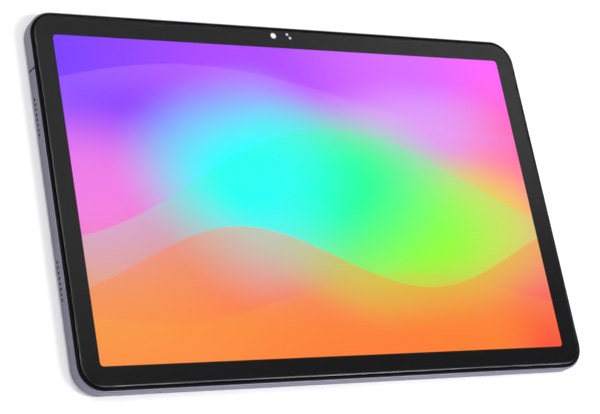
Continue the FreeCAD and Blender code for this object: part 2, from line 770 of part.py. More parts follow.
def make_mid_plate():
    """Stiff plate between the display and everything in the rear tray."""
    half_x, half_y = INNER_X - PLATE_INSET, INNER_Y - PLATE_INSET + 0.1
    plate = centred_slab(half_x, half_y, PLATE_Z, FRAME_Z, CORNER - WALL - PLATE_INSET + 0.1)
    flex_gap = block(-5.0, 5.0, -HALF_Y, LCD_BOTTOM + 0.4, 0, THICK)
    around = 5.0
    x, y = REAR_CAMERA
    for_rear_camera = slab(x - around, x + around, y - around, y + around, 0, THICK, 0.8)
    for_keys = block(POWER_X - 7.0, BRACKET_X1, FLANGE_Y - 2.1, HALF_Y, 0, THICK)
    lightening = [rod(x, y, 0, THICK, 2.0) for x in (-104, 104) for y in (-60, 60)]
    screw_holes = [rod(x, y, 0, THICK, FRAME_SCREW_R + 0.05) for x, y in frame_screw_places()]
    cuts = [flex_gap, front_pocket(), usb_notch(), for_rear_camera, for_keys]
    return plate.cut(cuts + lightening + screw_holes)


def frame_screw_places():
    return [(side * FRAME_SCREW_X, y) for side in (-1, 1) for y in FRAME_SCREW_YS]


def make_frame_screws():
    """Screws from the plate up into the frame's corners."""
    tip = PLATE_Z + FRAME_SCREW_LONG
    return [screw(x, y, PLATE_Z, 0.5, 1.3, tip, FRAME_SCREW_R) for x, y in frame_screw_places()]


# --- Side keys --------------------------------------------------------------------------------------


def key_body(x, length, plungers):
    """Key cap with the flange that keeps it in the wall and the plungers that reach its switches."""
    cap = pill_along_y(x, KEY_Z, length, KEY_HIGH, FLANGE_BACK, KEY_FACE)
    cap = cap.makeFillet(KEY_ROUND, edges_where(cap, lambda p: abs(p.y - KEY_FACE) < SAME))
    flange_long = length + 2 * FLANGE_EXTRA
    flange = pill_along_y(x, KEY_Z, flange_long, KEY_HIGH + FLANGE_EXTRA, FLANGE_BACK, FLANGE_Y)
    rods = [
        rod_along((0, -1, 0), (x + offset, FLANGE_BACK, KEY_Z), PLUNGER_LONG, PLUNGER_R)
        for offset in plungers
    ]
    return fuse([cap, flange] + rods)


def make_power_button():
    return key_body(POWER_X, POWER_LONG, [0.0])


def make_volume_rocker():
    """Long key with a plunger near each end and a round nub behind its middle, which it rocks on."""
    rocker = key_body(VOLUME_X, VOLUME_LONG, [-ROCKER_PLUNGER, ROCKER_PLUNGER])
    nub = rod(VOLUME_X, FLANGE_BACK, KEY_Z - NUB_HIGH / 2, KEY_Z + NUB_HIGH / 2, NUB_R)
    return fuse([rocker, nub])


def make_key_switches():
    """Three flat switches, each a body with a round dome: one for power and two for volume."""
    switches = []
    dome_y = SWITCH_Y - DOME_HIGH
    for x in (POWER_X, VOLUME_X - ROCKER_PLUNGER, VOLUME_X + ROCKER_PLUNGER):
        body = block(x - 1.5, x + 1.5, SWITCH_Y - SWITCH_THICK, dome_y, KEY_Z - 1.1, KEY_Z + 1.0)
        dome = rod_along((0, 1, 0), (x, dome_y, KEY_Z), DOME_HIGH, DOME_R)
        switches.append(fuse([body, dome]))
    return switches


def make_key_flex():
    """Flat circuit that the switches sit on, with a tail towards the board."""
    y1 = SWITCH_Y - SWITCH_THICK
    y0 = y1 - KEY_FLEX_THICK
    strip_x1 = VOLUME_X + 12
    strip = block(POWER_X - 4, strip_x1, y0, y1, KEY_Z - 1.2, KEY_Z + 1.0)
    tail = block(strip_x1, KEY_FLEX_END, y0, y1, KEY_Z - 0.9, KEY_Z + 0.7)
    return fuse([strip, tail])


def make_key_bracket():
    """Steel angle behind the switches, whose foot lies under the middle plate."""
    y1 = SWITCH_Y - SWITCH_THICK - KEY_FLEX_THICK
    y0 = y1 - BRACKET_THICK
    strip = block(BRACKET_X0, BRACKET_X1, y0, y1, 1.6, PLATE_Z)
    foot = block(BRACKET_X0, BRACKET_X1, y1 - 5, y0, PLATE_Z - 0.4, PLATE_Z)
    return fuse([strip, foot])


# --- Card tray --------------------------------------------------------------------------------------


def make_card_tray():
    """Drawer for a memory card: a face in the wall, a body with a pocket, and a pin hole to push it out."""
    back_of_face = HALF_Y - TRAY_FACE_THICK
    face = pill_along_y(TRAY_X, EDGE_Z, TRAY_FACE_LONG, TRAY_FACE_HIGH, back_of_face, HALF_Y)
    x0, x1 = TRAY_X - TRAY_BODY_WIDE / 2, TRAY_X + TRAY_BODY_WIDE / 2
    into_face = back_of_face + 0.3
    body = slab(x0, x1, TRAY_BODY_END, into_face, TRAY_BODY_Z, TRAY_BODY_TOP, TRAY_BODY_CORNER)
    card_x0, card_x1 = TRAY_X - CARD_WIDE / 2, TRAY_X + CARD_WIDE / 2
    card_y0 = TRAY_BODY_END + CARD_FROM_END
    card_y1 = card_y0 + CARD_LONG
    above = TRAY_BODY_TOP + BEYOND
    pocket = slab(card_x0, card_x1, card_y0, card_y1, TRAY_BODY_TOP - CARD_DEEP, above, CARD_CORNER)
    opening = slab(
        card_x0 + CARD_RIM, card_x1 - CARD_RIM, card_y0 + CARD_RIM, card_y1 - CARD_RIM,
        TRAY_BODY_Z - BEYOND, above, CARD_CORNER,
    )
    pin_x = TRAY_X + TRAY_FACE_LONG / 2 - PIN_FROM_END
    pin = rod_along((0, -1, 0), (pin_x, HALF_Y + BEYOND, EDGE_Z), PIN_DEEP + BEYOND, PIN_R)
    return fuse([face, body]).cut([pocket, opening, pin]).removeSplitter()


def make_card_socket():
    """Metal cage on the board that guides the tray, open towards the edge."""
    half = TRAY_BODY_WIDE / 2 + CAGE_PLAY
    outer_half = half + CAGE_WALL
    y0 = TRAY_BODY_END - 1.2
    z1 = TRAY_BODY_TOP + CAGE_PLAY
    outer = block(TRAY_X - outer_half, TRAY_X + outer_half, y0, CAGE_MOUTH_Y, BOARD_TOP, z1 + CAGE_WALL)
    inner = block(TRAY_X - half, TRAY_X + half, y0 + 0.6, CAGE_MOUTH_Y + BEYOND, BOARD_TOP + 0.1, z1)
    window = block(TRAY_X - 4, TRAY_X + 4, y0 + 4, y0 + 10, z1 - BEYOND, z1 + BEYOND)
    return outer.cut([inner, window])


# --- Boards and what they carry ---------------------------------------------------------------------


def make_mainboard():
    face = Part.Face(Part.makePolygon([V(x, y, BOARD_Z) for x, y in BOARD_OUTLINE + BOARD_OUTLINE[:1]]))
    board = face.extrude(V(0, 0, BOARD_THICK))
    board = board.makeFillet(1.0, edges_at_height(board, BOARD_Z + BOARD_THICK / 2))
    return board.cut([rod(x, y, 0, THICK, BOARD_HOLE_R) for x, y in BOARD_SCREWS])


def make_standoffs():
    """Posts that the mainboard and the charging board are screwed to."""
    posts = [standoff(x, y, BOARD_TOP, BOARD_TOP + 1.2) for x, y in BOARD_SCREWS]
    return posts + [standoff(*USB_SCREW, USB_BOARD_TOP, PLATE_Z - 0.2)]


def make_board_screws():
    screws = [screw(x, y, BOARD_Z, 0.5, 1.5, BOARD_TOP + 1.1, 0.7) for x, y in BOARD_SCREWS]
    return screws + [screw(*USB_SCREW, USB_BOARD_Z, 0.3, 1.4, PLATE_Z - 0.3, 0.7)]


def make_shield_cans():
    """Pressed covers over the chips, open at the bottom."""
    cans = []
    for x0, x1, y0, y1 in CANS:
        can = slab(x0, x1, y0, y1, BOARD_TOP, CAN_TOP, 1.0)
        can = can.makeFillet(0.3, edges_at_height(can, CAN_TOP))
        left, right, near, far = x0 + CAN_WALL, x1 - CAN_WALL, y0 + CAN_WALL, y1 - CAN_WALL
        cans.append(can.cut(slab(left, right, near, far, BOARD_TOP - BEYOND, CAN_TOP - CAN_WALL, 0.8)))
    return cans


def make_board_chips():
    """Processor, memory, power and radio chips under the cans."""
    return [block(x0, x1, y0, y1, BOARD_TOP, BOARD_TOP + CHIP_THICK) for x0, x1, y0, y1 in CHIPS]


def make_board_connectors():
    """Small plug-in sockets for the flat cables and the battery, the last one on the charging board."""
    half = SOCKET_WIDE / 2
    sockets = []
    for x, y, long in SOCKETS:
        left, right = x - long / 2, x + long / 2
        sockets.append(block(left, right, y - half, y + half, BOARD_TOP, BOARD_TOP + SOCKET_HIGH))
    sockets.append(block(*BATTERY_SOCKET, BOARD_TOP, BOARD_TOP + BATTERY_SOCKET_HIGH))
    sockets.append(block(97.9, 100.3, 7.6, 11.4, USB_BOARD_TOP, USB_BOARD_TOP + SOCKET_HIGH))
    return sockets


def make_heat_spreader():
    """Graphite sheet between the cans and the middle plate."""
    return slab(-45.0, 56.0, 26.5, 63.0, CAN_TOP, PLATE_Z - 0.12, 2.0)


def make_usb_board():
    half = USB_BOARD_HALF
    board = slab(USB_BOARD_X0, USB_BOARD_X1, -half, half, USB_BOARD_Z, USB_BOARD_TOP, 1.0)
    return board.cut(rod(*USB_SCREW, 0, THICK, BOARD_HOLE_R))


def make_usb_c_shell():
    """Charging socket's steel shell, open outwards, with a closed back."""
    x1 = HALF_X - USB_RECESS
    outer = pill_along_x(0, USB_Z, USB_WIDE, USB_HIGH, USB_X0, x1)
    inner_wide, inner_high = USB_WIDE - 2 * USB_WALL, USB_HIGH - 2 * USB_WALL
    inner = pill_along_x(0, USB_Z, inner_wide, inner_high, USB_X0 + USB_BACK, x1 + BEYOND)
    return outer.cut(inner)


def make_usb_c_tongue():
    """Plastic tongue in the socket, on a thicker root."""
    x0 = USB_X0 + USB_BACK
    x1 = x0 + TONGUE_ROOT
    half, z0 = TONGUE_WIDE / 2, USB_Z - TONGUE_THICK / 2
    tongue = slab(x0, x1 + TONGUE_LONG, -half, half, z0, z0 + TONGUE_THICK, 0.3)
    root = block(x0, x1, -half, half, USB_Z - 1.1, USB_Z + 1.1)
    return fuse([tongue, root])


def make_usb_c_contacts():
    """Gold contact strips on both faces of the tongue."""
    x0 = USB_X0 + 2.0
    contacts = []
    for i in range(CONTACTS):
        y = (i - (CONTACTS - 1) / 2) * CONTACT_PITCH
        y0, y1 = y - CONTACT_WIDE / 2, y + CONTACT_WIDE / 2
        for z0 in (USB_Z + TONGUE_THICK / 2, USB_Z - TONGUE_THICK / 2 - CONTACT_THICK):
            contacts.append(block(x0, x0 + CONTACT_LONG, y0, y1, z0, z0 + CONTACT_THICK))
    return contacts


def make_link_flex():
    """Flat cable from the charging board to the mainboard."""
    low = USB_BOARD_TOP + SOCKET_HIGH + 0.1
    high = BOARD_TOP + SOCKET_HIGH + 0.08
    over = high + 0.2
    points = [(8.0, low), (12.0, low), (15.0, over), (18.0, over), (20.5, high), (24.4, high)]
    return ribbon(points, 0.12, 96.0, 100.0)


# --- Battery ----------------------------------------------------------------------------------------


def make_cell(side):
    """One soft pouch cell."""
    x0, x1 = sorted((side * CELL_X0, side * CELL_X1))
    cell = slab(x0, x1, CELL_Y0, CELL_Y1 - CELL_END, CELL_Z, CELL_TOP, CELL_CORNER)
    return cell.makeFillet(CELL_ROUND, edges_at_height(cell, CELL_Z, CELL_TOP))


def make_protection_board():
    """Narrow board along the cells' tops, with a few small parts on it."""
    z0, z1, z2 = 1.6, 2.4, 3.3
    pieces = [block(-70.0, 70.0, CELL_Y1 - 3.3, CELL_Y1, z0, z1)]
    for x in (-60.0, -30.0, 12.0, 40.0, 55.0):
        pieces.append(block(x, x + 4.0, CELL_Y1 - 2.9, CELL_Y1 - 0.5, z1, z2))
    return fuse(pieces)


def make_battery_lead():
    """Three wires from the protection board, over the board's edge, to its battery socket."""
    low, high = 2.0, 3.55
    route = [(CELL_Y1, low), (CELL_Y1 + 1.6, low), (CELL_Y1 + 3.2, high), (CELL_Y1 + 5.4, high)]
    return [tube([(x, y, z) for y, z in route], WIRE_R) for x in WIRE_XS]


def make_battery_tape():
    """Strips that stick the cells to the middle plate."""
    y0, y1 = CELL_Y0 + 6.0, CELL_Y1 - 10.0
    return [block(x - TAPE_HALF, x + TAPE_HALF, y0, y1, CELL_TOP, PLATE_Z) for x in TAPE_XS]


# --- Sound ------------------------------------------------------------------------------------------


def speaker_places():
    return [(side, middle) for side in (-1, 1) for middle in (-SPEAKER_Y, SPEAKER_Y)]


def make_speaker(side, middle):
    """Closed speaker box that fires through the holes in the side wall."""
    front = side * (INNER_X - MESH_THICK - GASKET_THICK)
    x0, x1 = sorted((front, front - side * SPEAKER_WIDE))
    y0, y1 = middle - SPEAKER_LONG / 2, middle + SPEAKER_LONG / 2
    z0, z1 = SPEAKER_Z, SPEAKER_Z + SPEAKER_THICK
    box = slab(x0, x1, y0, y1, z0, z1, SPEAKER_CORNER)
    box = box.makeFillet(SPEAKER_ROUND, edges_at_height(box, z0, z1))
    mouth_x = sorted((front + side * BEYOND, front - side * 2.0))
    mouth = block(*mouth_x, middle - MOUTH_HALF, middle + MOUTH_HALF, EDGE_Z - 0.75, EDGE_Z + 0.55)
    cone_x = (x0 + x1) / 2 - side * 0.8
    cone = slab(cone_x - 4.2, cone_x + 4.2, middle - 10.0, middle + 10.0, z0 - BEYOND, z0 + 0.5, 4.0)
    return box.cut([mouth, cone])


def make_speaker_gaskets():
    """Foam rings between the speakers and the meshes."""
    gaskets = []
    for side, middle in speaker_places():
        outer = side * (INNER_X - MESH_THICK)
        x0, x1 = sorted((outer, outer - side * GASKET_THICK))
        y0, y1 = middle - MESH_HALF, middle + MESH_HALF
        ring = block(x0, x1, y0, y1, EDGE_Z - 1.7, EDGE_Z + 0.75)
        mouth = block(x0 - BEYOND, x1 + BEYOND, y0 + 1, y1 - 1, EDGE_Z - 0.95, EDGE_Z + 0.6)
        gaskets.append(ring.cut(mouth))
    return gaskets


def make_speaker_meshes():
    """Dust meshes behind the sound holes."""
    meshes = []
    for side, middle in speaker_places():
        x0, x1 = sorted((side * (INNER_X - MESH_THICK), side * INNER_X))
        meshes.append(block(x0, x1, middle - MESH_HALF, middle + MESH_HALF, EDGE_Z - 1.3, EDGE_Z + 0.75))
    return meshes


def make_microphone(x, side):
    """Microphone can that sits on the wall over its sound hole, with a small board behind it."""
    near, far = side * INNER_Y, side * (INNER_Y - MIC_CAN_THICK)
    back = far - side * MIC_BOARD_THICK
    can = block(x - 1.8, x + 1.8, min(near, far), max(near, far), EDGE_Z - 0.9, EDGE_Z + 0.85)
    board = block(x - 2.4, x + 2.4, min(far, back), max(far, back), EDGE_Z - 1.2, EDGE_Z + 0.9)
    hole = rod_along((0, -side, 0), (x, side * HALF_Y, EDGE_Z), WALL + 0.6, MIC_R)
    return fuse([can, board]).cut(hole)


# --- Cameras and sensors ----------------------------------------------------------------------------


def lens(x, y, rim_z, rim_thick, top_z, radius):
    """Lens with a flat back, a straight rim and a domed face. The face may point up or down."""
    way = math.copysign(1, top_z - rim_z)
    dome_z = rim_z + way * rim_thick
    high = abs(top_z - dome_z)
    ball_r = (radius ** 2 + high ** 2) / (2 * high)
    rim = rod(x, y, min(rim_z, dome_z), max(rim_z, dome_z), radius)
    ball = Part.makeSphere(ball_r, V(x, y, top_z - way * ball_r))
    column = rod(x, y, min(dome_z, top_z), max(dome_z, top_z), radius)
    return fuse([rim, ball.common(column)])


def make_front_camera_module():
    x, y = FRONT_CAMERA
    base = block(x - 2.5, x + 2.5, y - 2.3, y + 2.3, FRONT_MODULE_Z, FRONT_SHOULDER_Z)
    barrel = rod(x, y, FRONT_SHOULDER_Z, FRONT_LENS_TOP, FRONT_BARREL_R)
    bore = rod(x, y, FRONT_LENS_Z, THICK, FRONT_LENS_R + 0.05)
    return fuse([base, barrel]).cut(bore)


def make_front_camera_lens():
    return lens(*FRONT_CAMERA, FRONT_LENS_Z, 0.15, FRONT_LENS_TOP, FRONT_LENS_R)


def make_sensor_board():
    return block(-3.4, 3.9, 71.4, 75.7, SENSOR_BOARD_Z, SENSOR_Z)


def make_light_sensor():
    return rod(*LIGHT_SENSOR, SENSOR_Z, SENSOR_TOP, SENSOR_WINDOW_R)


def make_status_led():
    x, y = STATUS_LED
    half = SENSOR_WINDOW_R - 0.05
    return block(x - half, x + half, y - half, y + half, SENSOR_Z, SENSOR_TOP)


def make_rear_camera_ring():
    """Metal ring flush with the back, with a flange inside it and a chamfer round its window."""
    outer = rod(*REAR_CAMERA, 0, REAR_RING_THICK, REAR_RING_R)
    flange = rod(*REAR_CAMERA, FLOOR, REAR_RING_THICK, REAR_RING_R + REAR_RING_FLANGE)
    window = rod(*REAR_CAMERA, -BEYOND, THICK, REAR_WINDOW_R)
    ring = fuse([outer, flange]).cut(window)
    around_window = REAR_WINDOW_R + 0.1

    def on_window_edge(p):
        return abs(p.z) < SAME and math.dist((p.x, p.y), REAR_CAMERA) < around_window

    return ring.makeChamfer(REAR_RING_CHAMFER, edges_where(ring, on_window_edge))


def make_rear_camera_window():
    return rod(*REAR_CAMERA, REAR_WINDOW_Z, REAR_RING_THICK, REAR_WINDOW_R)


def make_rear_camera_module():
    x, y = REAR_CAMERA
    half = REAR_MODULE_HALF
    base = block(x - half, x + half, y - half, y + half, REAR_MODULE_Z, REAR_MODULE_TOP)
    barrel = rod(x, y, REAR_RING_THICK + 0.15, REAR_MODULE_Z, REAR_BARREL_R)
    bore = rod(x, y, 0, REAR_LENS_TOP, REAR_LENS_R + 0.1)
    return fuse([base, barrel]).cut(bore)


def make_rear_camera_lens():
    return lens(*REAR_CAMERA, REAR_LENS_TOP, 0.15, REAR_LENS_Z, REAR_LENS_R)


# --- Antennas ---------------------------------------------------------------------------------------


def make_antenna(x0, x1, y0, y1):
    """Copper sheet on the cover's floor, with a slot along it."""
    top = FLOOR + ANTENNA_THICK
    slot_y = (y0 + y1) / 2
    sheet = slab(x0, x1, y0, y1, FLOOR, top, 1.0)
    return sheet.cut(block(x0 + 3, x1 - 5, slot_y, slot_y + ANTENNA_SLOT, 0, THICK))


def make_antenna_cables():
    """Thin coaxial cables from the mainboard's edge down to each antenna."""
    low = FLOOR + ANTENNA_THICK + COAX_R + 0.01
    left = [(-56.0, 62.0, 2.5), (-64.0, 62.0, 2.5), (-72.0, 60.0, 1.9), (-79.0, 60.0, low), (-84.0, 60.0, low)]
    right = [(92.0, 55.0, 2.5), (96.0, 55.0, 2.5), (101.0, 56.5, 1.9), (105.0, 59.5, low), (108.5, 59.5, low)]
    return [tube(left, COAX_R), tube(right, COAX_R)]


# --- Assembly ---------------------------------------------------------------------------------------


def parts():
    """Every node's name and its shape or list of shapes."""
    tray = rear_tray()
    return {
        "cover_glass": make_cover_glass(),
        "black_border": make_black_border(),
        "glass_tape": make_glass_tape(),
        "optical_adhesive": make_optical_adhesive(),
        "front_polariser": make_polariser(),
        "lcd_panel": make_lcd_panel(),
        "diffuser_sheets": backlight_sheet(SHEETS_BOTTOM, LCD_Z - SHEETS_THICK, LCD_Z),
        "light_guide": backlight_sheet(GUIDE_BOTTOM, GUIDE_Z, GUIDE_Z + GUIDE_THICK),
        "backlight_led_bar": make_backlight_led_bar(),
        "backlight_tray": make_backlight_tray(),
        "display_flex": make_display_flex(),
        "mid_frame": make_mid_frame(),
        "mid_plate": make_mid_plate(),
        "frame_screws": make_frame_screws(),
        "rear_shell": make_rear_shell(tray),
        "antenna_cover": make_antenna_cover(tray),
        "seam_strip": make_seam_strip(),
        "power_button": make_power_button(),
        "volume_rocker": make_volume_rocker(),
        "key_switches": make_key_switches(),
        "key_flex": make_key_flex(),
        "key_bracket": make_key_bracket(),
        "card_tray": make_card_tray(),
        "card_socket": make_card_socket(),
        "mainboard": make_mainboard(),
        "board_standoffs": make_standoffs(),
        "board_screws": make_board_screws(),
        "shield_cans": make_shield_cans(),
        "board_chips": make_board_chips(),
        "board_connectors": make_board_connectors(),
        "heat_spreader": make_heat_spreader(),
        "usb_board": make_usb_board(),
        "usb_c_shell": make_usb_c_shell(),
        "usb_c_tongue": make_usb_c_tongue(),
        "usb_c_contacts": make_usb_c_contacts(),
        "link_flex": make_link_flex(),
        "battery_cell_left": make_cell(-1),
        "battery_cell_right": make_cell(1),
        "battery_protection_board": make_protection_board(),
        "battery_lead": make_battery_lead(),
        "battery_tape": make_battery_tape(),
        "speaker_left_lower": make_speaker(-1, -SPEAKER_Y),
        "speaker_left_upper": make_speaker(-1, SPEAKER_Y),
        "speaker_right_lower": make_speaker(1, -SPEAKER_Y),
        "speaker_right_upper": make_speaker(1, SPEAKER_Y),
        "speaker_gaskets": make_speaker_gaskets(),
        "speaker_meshes": make_speaker_meshes(),
        "microphones": [make_microphone(MIC_X, -1), make_microphone(TOP_MIC_X, 1)],
        "front_camera_module": make_front_camera_module(),
        "front_camera_lens": make_front_camera_lens(),
        "sensor_board": make_sensor_board(),
        "light_sensor": make_light_sensor(),
        "status_led": make_status_led(),
        "rear_camera_ring": make_rear_camera_ring(),
        "rear_camera_window": make_rear_camera_window(),
        "rear_camera_module": make_rear_camera_module(),
        "rear_camera_lens": make_rear_camera_lens(),
        "wifi_antennas": [make_antenna(-112.0, -80.0, 57.0, 70.0), make_antenna(105.6, 114.0, 56.5, 72.0)],
        "antenna_cables": make_antenna_cables(),
    }


def write(name, shape):
    """Writes one STEP file and says how large the node is."""
    shapes = shape if isinstance(shape, list) else [shape]
    solids = [solid for one in shapes for solid in one.Solids]
    whole = Part.makeCompound(solids) if len(solids) > 1 else solids[0]
    state = "ok" if all(solid.isValid() for solid in solids) else "INVALID"
    whole.exportStep("parts/" + name + ".step")
    print(f"{name:26s} {len(solids):3d} solids {sum(s.Volume for s in solids):10.2f} mm3 {state}")


def main():
    os.makedirs("parts", exist_ok=True)
    made = parts()
    for name, shape in made.items():
        write(name, shape)
    print(len(made), "nodes")


main()
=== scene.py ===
"""Looks of the tablet computer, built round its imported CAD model. Everything is in metres."""

import json
import math

import bpy
from mathutils import Matrix, Vector


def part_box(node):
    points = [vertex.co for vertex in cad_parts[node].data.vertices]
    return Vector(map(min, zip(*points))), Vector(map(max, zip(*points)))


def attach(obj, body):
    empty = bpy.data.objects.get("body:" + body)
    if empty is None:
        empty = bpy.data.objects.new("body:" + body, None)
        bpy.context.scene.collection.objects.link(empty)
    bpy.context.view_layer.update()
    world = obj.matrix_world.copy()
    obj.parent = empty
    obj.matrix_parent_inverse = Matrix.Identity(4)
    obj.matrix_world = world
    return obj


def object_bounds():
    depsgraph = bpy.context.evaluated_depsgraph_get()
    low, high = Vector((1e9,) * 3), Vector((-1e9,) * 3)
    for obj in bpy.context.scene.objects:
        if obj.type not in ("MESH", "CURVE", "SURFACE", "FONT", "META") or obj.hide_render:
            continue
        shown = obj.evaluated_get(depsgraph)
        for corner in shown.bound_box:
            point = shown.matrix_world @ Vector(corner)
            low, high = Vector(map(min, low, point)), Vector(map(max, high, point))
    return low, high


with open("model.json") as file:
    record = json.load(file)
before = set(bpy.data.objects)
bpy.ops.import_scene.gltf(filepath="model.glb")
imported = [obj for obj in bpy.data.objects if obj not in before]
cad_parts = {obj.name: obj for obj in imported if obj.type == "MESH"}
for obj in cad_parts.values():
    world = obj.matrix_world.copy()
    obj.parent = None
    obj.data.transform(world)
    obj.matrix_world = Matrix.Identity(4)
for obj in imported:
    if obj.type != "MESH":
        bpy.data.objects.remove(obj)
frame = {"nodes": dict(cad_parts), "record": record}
cad_low, cad_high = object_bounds()

MM = 0.001
BODY = "tablet"

# The display's lit area, and the height that it lies at
PICTURE_HALF = Vector((0.10848, 0.0678))
PICTURE_CORNER = 1.6 * MM
PICTURE_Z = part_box("front_polariser")[1].z

# Outline's corner radius, how thick the outer skin of a side wall is taken to be, the heights between which
# the side walls have openings, and the painted shade colour that darkens the walls in there
CORNER = 10.7 * MM
SKIN = 0.04 * MM
OPENINGS_FROM = 2.3 * MM
OPENINGS_TO = 5.4 * MM
OPENING_PAINTED_SHADE = (0.02, 0.02, 0.022)

# The floor is a square. It lies this little below the back, so that no two faces coincide, and fades into
# the studio's white between these distances from the tablet.
FLOOR_HALF = 3.0
FLOOR_GAP = 0.02 * MM
FLOOR_FADE_FROM = 0.7
FLOOR_FADE_TO = 1.6

# The studio is this bright all round, and this much brighter at the horizon. That is full up to the first
# height of a unit direction, and gone at the second.
STUDIO = 0.84
HORIZON = 0.16
HORIZON_FULL = 0.05
HORIZON_END = 0.25

# Round patches of the studio: the direction, where the patch starts and is full as the cosine of the angle
# from it, and what it adds to the brightness
STUDIO_PATCHES = [
    ((0.55, -0.25, 0.80), 0.82, 0.90, -0.76),
    ((0.68, 0.68, 0.28), 0.90, 0.96, -0.70),
    ((0.62, 0.40, 0.68), 0.985, 1.0, 0.48),
]

# Lights: name, place, size, watts, and whether glass and metal mirror it
LIGHT_COLOUR = (0.96, 0.95, 1.0)
LIGHTS = [
    ("key_light", (-0.9, -0.5, 1.2), (0.9, 0.9), 2.2, False),
    ("fill_light", (-0.1, -1.3, 0.8), (1.2, 0.6), 2.5, False),
    ("edge_light_front", (0.79, -0.37, 1.2), (0.95, 0.24), 16.0, True),
    ("edge_light_left", (-0.21, 0.43, 1.2), (0.22, 0.65), 3.4, True),
]

# Camera, in the tablet's own frame
CAMERA_FROM_PICTURE = Vector((-0.3689, -0.2223, 0.5663))
CAMERA_RIGHT = Vector((0.8647, -0.1740, 0.4713))
CAMERA_FORWARD = Vector((0.5022, 0.3200, -0.8034))
LENS_MM = 103.45
SHIFT = (0.0223, -0.0288)

# The glass is coated, so it mirrors less than bare glass does. Its rim is matte black where it faces this
# little
# upwards: in part a matte edge from grinding, in part painted shade standing in for the dark line along the
# edge. Its rounded edge is polished less than its face, over these depths below the face.
GLASS_MIRROR_IOR = 1.36
RIM_GRIND_AND_SHADE_FACING = 0.93
EDGE_ROUGHNESS = 0.25
EDGE_FROM = 0.03 * MM
EDGE_TO = 0.005 * MM
RIM_GRIND_AND_SHADE_BLACK = (0.004, 0.004, 0.004, 1)

# Colours of the picture, as sRGB from 0 to 1, from its left to its right
TOP_BAND = [
    (0.0, (0.47, 0.20, 1.0)),
    (0.4, (0.68, 0.25, 1.0)),
    (0.75, (0.84, 0.38, 1.0)),
    (1.0, (1.0, 0.34, 1.0)),
]
BOTTOM_BAND = [
    (0.0, (1.0, 0.56, 0.26)),
    (0.5, (1.0, 0.50, 0.20)),
    (0.85, (1.0, 0.50, 0.18)),
    (1.0, (1.0, 0.28, 0.22)),
]

# The bottom band gives way to the top one between these heights, as shares of the picture's half height.
# Slow noise bends the bands and glows by the shares below.
BANDS_FROM = -0.85
BANDS_TO = 0.65
BEND_ACROSS = 0.30
BEND_ALONG = 0.45

# Soft glows over those bands: centre and reach as shares of the picture's half size, colour, and how full
# it is. A glow is full out to the share of its reach given here.
GLOW_CORE = 0.15
GLOWS = [
    ((-0.95, 0.05), (0.50, 0.75), (1.0, 0.50, 0.92), 0.75),
    ((0.98, 0.10), (0.50, 0.95), (1.0, 0.38, 0.60), 0.85),
    ((0.50, 0.45), (0.55, 0.42), (0.88, 0.70, 0.94), 0.55),
    ((0.78, -0.15), (0.50, 0.55), (1.0, 0.80, 0.20), 0.85),
    ((0.42, -0.22), (0.72, 0.62), (0.58, 1.0, 0.12), 1.0),
    ((0.08, 0.05), (0.60, 0.70), (0.02, 1.0, 0.55), 1.0),
    ((-0.30, 0.10), (0.58, 0.80), (0.0, 1.0, 1.0), 1.0),
]

# Waves: crest height, rise, pace and phase of the curve, how far its veil reaches down, its colour and
# strength. The crest line is blurred over the share given here.
CREST = 0.015
WAVES = [
    (0.66, 0.20, 2.2, 2.6, 0.30, (0.95, 0.62, 1.0), 0.14),
    (0.10, 0.36, 2.5, 1.3, 0.90, (0.0, 1.0, 0.62), 0.20),
    (-0.38, 0.20, 3.9, 3.0, 0.85, (1.0, 0.50, 0.18), 0.45),
    (-0.62, 0.14, 3.1, 0.6, 0.50, (0.95, 0.72, 0.20), 0.14),
]


# Colour sockets of a mix node, by number, because its other kinds of socket have the same names
MIX_FACTOR, MIX_A, MIX_B, MIX_RESULT = 0, 6, 7, 2
WHITE = (1, 1, 1, 1)
BLACK = (0, 0, 0, 1)


# --- Node helpers ---------------------------------------------------------------


def linear(colour):
    """sRGB colour as linear RGBA."""
    return tuple(c / 12.92 if c <= 0.04045 else ((c + 0.055) / 1.055) ** 2.4 for c in colour) + (1.0,)


